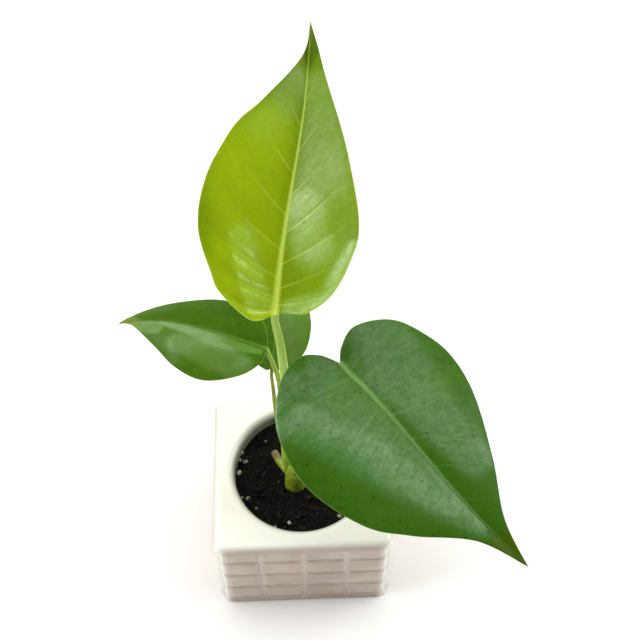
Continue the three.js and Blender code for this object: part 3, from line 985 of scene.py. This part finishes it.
def swept(name, points, radii, material, sides, channel, facing):
    """Swept piece through the points, its radius read at each of them, with rounded ends."""
    line, spans = smooth_line(points, 10)
    width = np.interp(spans, np.arange(len(radii)), radii)
    width[0] *= 0.6
    width[-1] *= 0.35
    return run_tree(stalk_tree(material), curve_data(name, line, width), name, {
        "Sides": sides, "Channel Depth": channel, "Channel Side": facing}, material)


def join_pieces(name, pieces):
    """One mesh object from several, without their data left behind."""
    work = bmesh.new()
    for piece in pieces:
        work.from_mesh(piece.data)
    mesh = bpy.data.meshes.new(name)
    work.to_mesh(mesh)
    work.free()
    mesh.materials.append(pieces[0].data.materials[0])
    mesh.shade_smooth()
    for piece in pieces:
        bpy.data.objects.remove(piece)
    whole = bpy.data.objects.new(name, mesh)
    bpy.context.scene.collection.objects.link(whole)
    return whole


def make_stem():
    skin = stem_material()
    core = swept("stem_core", STEM_LINE, STEM_RADII, skin, 40, 0.0, (0, -1, 0))
    stub = swept("stem_stub", STUB_LINE, STUB_RADII, skin, 28, 0.0, (0, 0, 1))
    place_piece(join_pieces("plant_stem", [core, stub]), "stem", "stem")


def leaf_frame(leaf):
    """Base, unit directions along, up and to the side of a blade's plane, and its length."""
    base, tip = np.array(leaf["base"], float), np.array(leaf["tip"], float)
    length = np.linalg.norm(tip - base)
    along = (tip - base) / length
    up = np.array([0, 0, 1.0]) - along * along[2]
    up = Vector(up / np.linalg.norm(up))
    up.rotate(Matrix.Rotation(math.radians(leaf["roll"]), 3, Vector(along)))
    up = np.array(up)
    return base, along, up, np.cross(along, up), length


def leaf_points(leaf, u, v, lift=0.0):
    """Points of a blade's middle surface at u along and v out to the right, raised by lift."""
    base, along, up, side, length = leaf_frame(leaf)
    t = u / length
    fold = math.radians(leaf["fold"])
    power = math.log(0.5) / math.log(leaf["peak"])
    arch = leaf["arch"] * np.sin(math.pi * np.clip(t, 0, 1) ** power)
    curl = (v**2 + np.minimum(u, 0) ** 2) / (2 * leaf["curl"])
    twist = v * math.tan(math.radians(leaf["twist"])) * (t - 0.5)
    phase = np.where(v > 0, 0, WAVE_LAG)
    wave = leaf["wave"] * (v / leaf["half_width"]) ** 2 * np.sin(
        2 * math.pi * u / leaf["wave_length"] + phase)
    dip = leaf["funnel"] * np.exp(-(u**2 + v**2) / FUNNEL_RADIUS**2)
    dip = dip + leaf["trough"] * np.exp(-((v / TROUGH_WIDTH) ** 2))
    height = arch + np.abs(v) * math.sin(fold) - curl + twist + wave - dip + lift
    swing = leaf["bow"] * np.sin(math.pi * t) + leaf["sway"] * np.sin(2 * math.pi * t)
    sideways = v * math.cos(fold) + swing
    return base + u[..., None] * along + sideways[..., None] * side + height[..., None] * up


def stalk_material_for(s, kind):
    greens = {
        "young_stalk": (tuple(s.young_stalk_colour), colour(160, 200, 66)),
        "stalk": (tuple(s.stalk_colour), colour(138, 174, 36)),
        "old_stalk": (tuple(s.old_stalk_colour), colour(146, 160, 24)),
    }
    return stalk_material(kind + "_skin", *greens[kind])


def make_stalks(s):
    skins = {}
    for name, leaf in LEAVES.items():
        kind = leaf["stem"]
        if kind not in skins:
            skins[kind] = stalk_material_for(s, kind)
        foot, neck = leaf["stalk_radius"]
        points = list(leaf["stalk"])
        radii = list(np.linspace(foot, neck, len(points)))
        length = leaf_frame(leaf)[4]
        rib_steps = 6
        for share in (0.03, *np.linspace(0, 1, rib_steps + 1)[1:]):
            radius = neck + (MIDRIB_END_RADIUS - neck) * share
            u = np.array(length * MIDRIB_REACH * share)
            points.append(tuple(leaf_points(leaf, u, np.array(0.0), -radius - MIDRIB_DEPTH)))
            radii.append(radius)
        up = leaf_frame(leaf)[2]
        piece = swept(
            f"leaf_stalk_{name}", points, radii, skins[kind], 28, 0.2, tuple(-up))
        place_piece(piece, kind, f"stalk_{name}")


# Leaf blades
def blade_grid(leaf):
    """Rows across the blade, fanned as the side veins are. For each point: u, v, its share of the
    way out (signed), its row's place along the edge, 0 at the stalk and 1 at the tip, and the
    row's reach from midrib to edge."""
    length = leaf_frame(leaf)[4]

    def edge(half, sign):
        corners = [(0, 0)] + [(u, sign * v) for u, v in half] + [(length, 0)]
        return even_places(smooth_line(corners, 24)[0], BLADE_ROWS + 1)

    right, left = edge(leaf["right"], 1), edge(leaf["left"], -1)
    share = (1 - np.cos(np.pi * np.arange(BLADE_COLUMNS + 1) / BLADE_COLUMNS)) / 2
    out = np.concatenate([-share[:0:-1], share])
    row = np.arange(BLADE_ROWS + 1) / BLADE_ROWS
    foot = np.column_stack([length * row**VEIN_FAN, 0 * row])
    rim = np.where(out[None, :, None] < 0, left[:, None, :], right[:, None, :])
    span = rim - foot[:, None, :]
    spots = foot[:, None, :] + span * np.abs(out)[None, :, None]
    u, v = spots[..., 0], spots[..., 1]
    out, row = np.broadcast_to(out, u.shape), np.broadcast_to(row[:, None], u.shape)
    return u, v, out, row, np.linalg.norm(span, axis=2)


def patches(spots, u, v):
    """Strength of the strongest soft-edged patch at each point of a blade."""
    strength = np.zeros(u.shape)
    for first_u, first_v, first_radius, last_u, last_v, last_radius, most in spots:
        run_u, run_v = last_u - first_u, last_v - first_v
        share = ((u - first_u) * run_u + (v - first_v) * run_v) / (run_u**2 + run_v**2)
        share = np.clip(share, 0, 1)
        away = np.hypot(u - first_u - share * run_u, v - first_v - share * run_v)
        away = away / (first_radius + share * (last_radius - first_radius))
        soft = np.clip((PATCH_END - away) / PATCH_FADE, 0, 1) * (v * first_v > 0)
        strength = np.maximum(strength, most * soft**2 * (3 - 2 * soft))
    return strength


def make_blade(s, name, leaf, material):
    u, v, out, row, reach = blade_grid(leaf)
    away = np.abs(out)
    rib_mm = away * reach
    edge_mm = (1 - away) * reach
    stagger = np.where(out < 0, 0.5, 0.0)
    vein = (row - s.vein_bend * away**2) * leaf["veins"] + stagger
    gaps = np.sqrt(np.gradient(u, axis=0) ** 2 + np.gradient(v, axis=0) ** 2)
    pitch_mm = gaps * BLADE_ROWS / leaf["veins"]
    rib_foot, rib_end = leaf["rib"]
    half_rib = (rib_foot + (rib_end - rib_foot) * np.clip(row * 1.1, 0, 1)) / 2
    to_vein_mm = np.abs(vein % 1 - 0.5) * pitch_mm
    middle = 4 * away * (1 - away)
    quilt = np.where(out > 0, *leaf["quilt"]) * (1 - 0.8 * np.clip((row - 0.35) / 0.3, 0, 1))
    swell = -np.cos(2 * math.pi * (vein - 0.5)) * quilt / 2 * middle
    sunk = np.exp(-((to_vein_mm / GROOVE_WIDTH) ** 2)) * leaf["groove"] * middle
    swell = swell + leaf["margin"] * np.exp(-edge_mm / MARGIN_WIDTH) * np.clip(rib_mm / 5, 0, 1)
    rib = RIB_HEIGHT * np.exp(-((rib_mm / half_rib) ** 2))
    thickness = s.blade_thickness / MM
    rounding = np.clip(edge_mm / (thickness * 0.9), 0, 1)
    skin = thickness / 2 * np.sqrt(1 - (1 - rounding) ** 2)
    upper = leaf_points(leaf, u, v, swell - sunk + skin + rib * rounding)
    lower = leaf_points(leaf, u, v, swell - sunk - skin)
    width = u.shape[1]
    rings = np.concatenate([upper, lower[:, ::-1]], axis=1)

    def both(values):
        """Values of the upper skin, then of the lower one, round each ring."""
        return np.concatenate([values, values[:, ::-1]], axis=1)

    below = np.tile(np.repeat([0.0, 1.0], width), (BLADE_ROWS + 1, 1))
    piece = mesh_object(
        f"leaf_blade_{name}", rings.reshape(-1, 3), ring_faces(BLADE_ROWS + 1, 2 * width),
        material, {
            "rib_mm": both(rib_mm), "edge_mm": both(edge_mm), "vein": both(vein),
            "pitch_mm": both(pitch_mm), "rib_half_mm": both(half_rib), "along": both(row),
            "below": below, "wax_and_sheen": both(leaf["wax_and_sheen"] + patches(leaf["sheen_patches"], u, v)),
            "pale": both(patches(leaf["pale"], u, v)),
        })
    place_piece(piece, leaf["blade"], f"leaf_{name}")


def make_leaves(s):
    young = leaf_material("young", s.young_leaf_deep, s.young_leaf_light)
    mature = leaf_material("mature", s.leaf_deep, s.leaf_light)
    small = leaf_material("small", s.small_leaf_deep, s.small_leaf_light)
    skins = {"top": young, "right": mature, "left": small, "back": small}
    for name, leaf in LEAVES.items():
        make_blade(s, name, leaf, skins[name])


# Stage
def make_stage(s):
    half = 3.0
    floor = bpy.data.objects.new("studio_floor", bpy.data.meshes.new("studio_floor"))
    floor.data.from_pydata(
        [(-half, -half, 0), (half, -half, 0), (half, half, 0), (-half, half, 0)], [],
        [(0, 1, 2, 3)])
    floor.data.materials.append(floor_material())
    bpy.context.scene.collection.objects.link(floor)
    world = bpy.data.worlds.new("studio_dome")
    world.use_nodes = True
    t = Tree(world.node_tree)
    direction = t.node("ShaderNodeTexCoord")
    depth = t.part(direction, "Y")
    above = t.part(direction, "Z").rise(0.0, 0.5)
    band = depth.rise(-0.33, -0.15) * (1 - depth.rise(0.0, 0.5) * 0.4)
    dome = t.mix(band * (above * 0.6 + 0.4), (s.front_light,) * 3 + (1,), tuple(s.dome_tint))
    background = world.node_tree.nodes["Background"]
    t.plug(dome, background.inputs["Color"])
    background.inputs["Strength"].default_value = s.dome_strength
    bpy.context.scene.world = world
    bpy.context.scene.view_settings.view_transform = "Standard"

    def softbox(name, place, aim, width, depth, power, tint=(1, 1, 1)):
        light = bpy.data.lights.new(name, "AREA")
        light.shape = "RECTANGLE"
        light.size, light.size_y = width, depth
        light.energy = power
        light.color = tint
        holder = bpy.data.objects.new(name, light)
        holder.location = place
        holder.rotation_euler = (Vector(aim) - Vector(place)).to_track_quat("-Z", "Y").to_euler()
        bpy.context.scene.collection.objects.link(holder)

    plant = (0, 0.02, 0.12)
    softbox("left_window", (-0.88, -0.18, 0.78), plant, 0.42, 0.42, s.window_power)
    softbox("right_window", (0.9, 0.25, 0.75), plant, 0.6, 0.5, s.fill_power)

    camera = bpy.data.objects.new("camera", bpy.data.cameras.new("camera"))
    camera.data.sensor_width = SENSOR
    camera.data.lens = FOCAL_PIXELS / IMAGE_SIZE * SENSOR
    camera.data.clip_start = 0.01
    pitch, yaw, roll = CAMERA_PITCH, CAMERA_YAW, CAMERA_ROLL
    forward = Vector((math.sin(yaw) * math.cos(pitch), math.cos(yaw) * math.cos(pitch),
                      -math.sin(pitch)))
    level = Vector((math.cos(yaw), -math.sin(yaw), 0))
    raised = level.cross(forward)
    right = level * math.cos(roll) + raised * math.sin(roll)
    up = raised * math.cos(roll) - level * math.sin(roll)
    turn = Matrix((right, up, -forward)).transposed().to_4x4()
    camera.matrix_world = Matrix.Translation(Vector(CAMERA_PLACE) * MM) @ turn
    bpy.context.scene.collection.objects.link(camera)
    bpy.context.scene.camera = camera


# Settings, operators and panel
def length_setting(name, description, millimetres):
    return bpy.props.FloatProperty(
        name=name, description=description, default=millimetres * MM, unit="LENGTH")


def count_setting(name, description, default):
    return bpy.props.IntProperty(name=name, description=description, default=default)


def value_setting(name, description, default):
    return bpy.props.FloatProperty(name=name, description=description, default=default)


def tint(name, description, red, green, blue):
    return bpy.props.FloatVectorProperty(
        name=name, description=description, default=colour(red, green, blue), size=4,
        subtype="COLOR", min=0, max=1)


class PlantSettings(bpy.types.PropertyGroup):
    """Sizes and colours of the plant, its pot and its stage."""

    tile_rows: count_setting("Tile Rows", "Rows of tiles on each side of the pot", 4)
    tile_columns: count_setting("Tile Columns", "Columns of tiles on each side of the pot", 4)
    groove_width: length_setting("Groove Width", "Width of the grooves between tiles", 3.0)
    groove_depth: length_setting("Groove Depth", "Depth of the grooves between tiles", 0.7)
    tile_pillow: length_setting(
        "Tile Pillow", "How far a tile's middle stands out of its edges", 0.35)
    glaze_colour: tint("Glaze", "Main colour of the glaze", 253, 251, 242)
    # Warm Glaze also paints the highlight in the upright grooves. Side Glaze is painted shade with
    # a painted pinkish reflection on the tiled sides, Pooled Glaze the darker painted shade in
    # their blotches and level grooves, and Well Stain painted shade on the well's wall above the
    # soil.
    glaze_warm_and_highlight: tint("Warm Glaze", "Colour of the glaze's warmer clouds", 251, 247, 231)
    glaze_side_shade: tint("Side Glaze", "Colour of the glaze on the tiled sides", 202, 181, 164)
    glaze_deep_shade: tint("Pooled Glaze", "Colour of the glaze pooled in the grooves", 170, 146, 129)
    well_shade: tint("Well Stain", "Colour of the stained wall above the soil", 94, 90, 62)
    crumb_count: count_setting("Crumbs", "Loose crumbs on the soil", 620)
    bark_count: count_setting("Bark Bits", "Bark bits on the soil", 100)
    blade_thickness: length_setting("Blade Thickness", "Thickness of a leaf blade", 0.4)
    vein_bend: value_setting("Vein Bend", "How far side veins bend towards the tip", 0.045)
    young_leaf_deep: tint("Young Leaf", "Deeper green of the newest leaf", 120, 151, 1)
    young_leaf_light: tint("Young Leaf Light", "Lighter green of the newest leaf", 132, 164, 2)
    leaf_deep: tint("Leaf", "Deeper green of the largest leaf", 46, 84, 3)
    leaf_light: tint("Leaf Light", "Lighter green of the largest leaf", 60, 104, 8)
    small_leaf_deep: tint("Small Leaf", "Deeper green of the small leaves", 62, 100, 8)
    small_leaf_light: tint("Small Leaf Light", "Lighter green of the small leaves", 84, 126, 24)
    young_stalk_colour: tint("Young Stalk", "Green of the newest leaf's stalk", 188, 226, 92)
    stalk_colour: tint("Stalk", "Green of the middle leaves' stalks", 168, 202, 62)
    old_stalk_colour: tint("Old Stalk", "Olive of the oldest leaf's stalk", 176, 192, 34)
    dome_strength: value_setting("Dome Light", "Strength of the light overhead and behind", 2.35)
    dome_tint: tint("Dome Tint", "Tint of the light overhead and behind", 255, 254, 252)
    front_light: value_setting(
        "Front Light", "Share of the dome's light that comes from the front", 0.035)
    window_power: value_setting("Window Power", "Power of the window on the left, watts", 2.0)
    fill_power: value_setting("Fill Power", "Power of the window on the right, watts", 3.0)


class PLANT_OT_pot(bpy.types.Operator):
    """Make the glazed cube pot with its tile relief."""

    bl_idname = "plant.pot"
    bl_label = "Glazed Pot"
    bl_options = {"REGISTER", "UNDO"}

    def execute(self, context):
        make_pot(context.scene.plant_settings)
        return {"FINISHED"}


class PLANT_OT_soil(bpy.types.Operator):
    """Make the potting soil."""

    bl_idname = "plant.soil"
    bl_label = "Soil"
    bl_options = {"REGISTER", "UNDO"}

    def execute(self, context):
        make_soil()
        return {"FINISHED"}


class PLANT_OT_grains(bpy.types.Operator):
    """Scatter crumbs, bark bits and perlite on the soil."""

    bl_idname = "plant.grains"
    bl_label = "Grains"
    bl_options = {"REGISTER", "UNDO"}

    def execute(self, context):
        make_grains(context.scene.plant_settings)
        return {"FINISHED"}


class PLANT_OT_stem(bpy.types.Operator):
    """Make the stem with the stub of an old stalk."""

    bl_idname = "plant.stem"
    bl_label = "Stem"
    bl_options = {"REGISTER", "UNDO"}

    def execute(self, context):
        make_stem()
        return {"FINISHED"}


class PLANT_OT_stalks(bpy.types.Operator):
    """Make the four leaf stalks and midribs."""

    bl_idname = "plant.stalks"
    bl_label = "Leaf Stalks"
    bl_options = {"REGISTER", "UNDO"}

    def execute(self, context):
        make_stalks(context.scene.plant_settings)
        return {"FINISHED"}


class PLANT_OT_leaves(bpy.types.Operator):
    """Make the four leaf blades."""

    bl_idname = "plant.leaves"
    bl_label = "Leaf Blades"
    bl_options = {"REGISTER", "UNDO"}

    def execute(self, context):
        make_leaves(context.scene.plant_settings)
        return {"FINISHED"}


class PLANT_OT_stage(bpy.types.Operator):
    """Make the floor, the lights and the camera."""

    bl_idname = "plant.stage"
    bl_label = "Stage"
    bl_options = {"REGISTER", "UNDO"}

    def execute(self, context):
        make_stage(context.scene.plant_settings)
        return {"FINISHED"}


OPERATORS = [
    PLANT_OT_pot, PLANT_OT_soil, PLANT_OT_grains, PLANT_OT_stem, PLANT_OT_stalks, PLANT_OT_leaves,
    PLANT_OT_stage,
]


class PLANT_PT_panel(bpy.types.Panel):
    """Sidebar panel with every setting and step."""

    bl_idname = "PLANT_PT_panel"
    bl_label = "Potted Plant"
    bl_space_type = "VIEW_3D"
    bl_region_type = "UI"
    bl_category = "Plant"

    def draw(self, context):
        for name in PlantSettings.__annotations__:
            self.layout.prop(context.scene.plant_settings, name)
        for kind in OPERATORS:
            self.layout.operator(kind.bl_idname)


CLASSES = [PlantSettings, *OPERATORS, PLANT_PT_panel]


def register():
    for kind in CLASSES:
        bpy.utils.register_class(kind)
    bpy.types.Scene.plant_settings = bpy.props.PointerProperty(type=PlantSettings)


def unregister():
    del bpy.types.Scene.plant_settings
    for kind in reversed(CLASSES):
        bpy.utils.unregister_class(kind)


def main():
    register()
    bpy.ops.plant.pot()
    bpy.ops.plant.soil()
    bpy.ops.plant.grains()
    bpy.ops.plant.stem()
    bpy.ops.plant.stalks()
    bpy.ops.plant.leaves()
    bpy.ops.plant.stage()


if __name__ == "__main__":
    main()
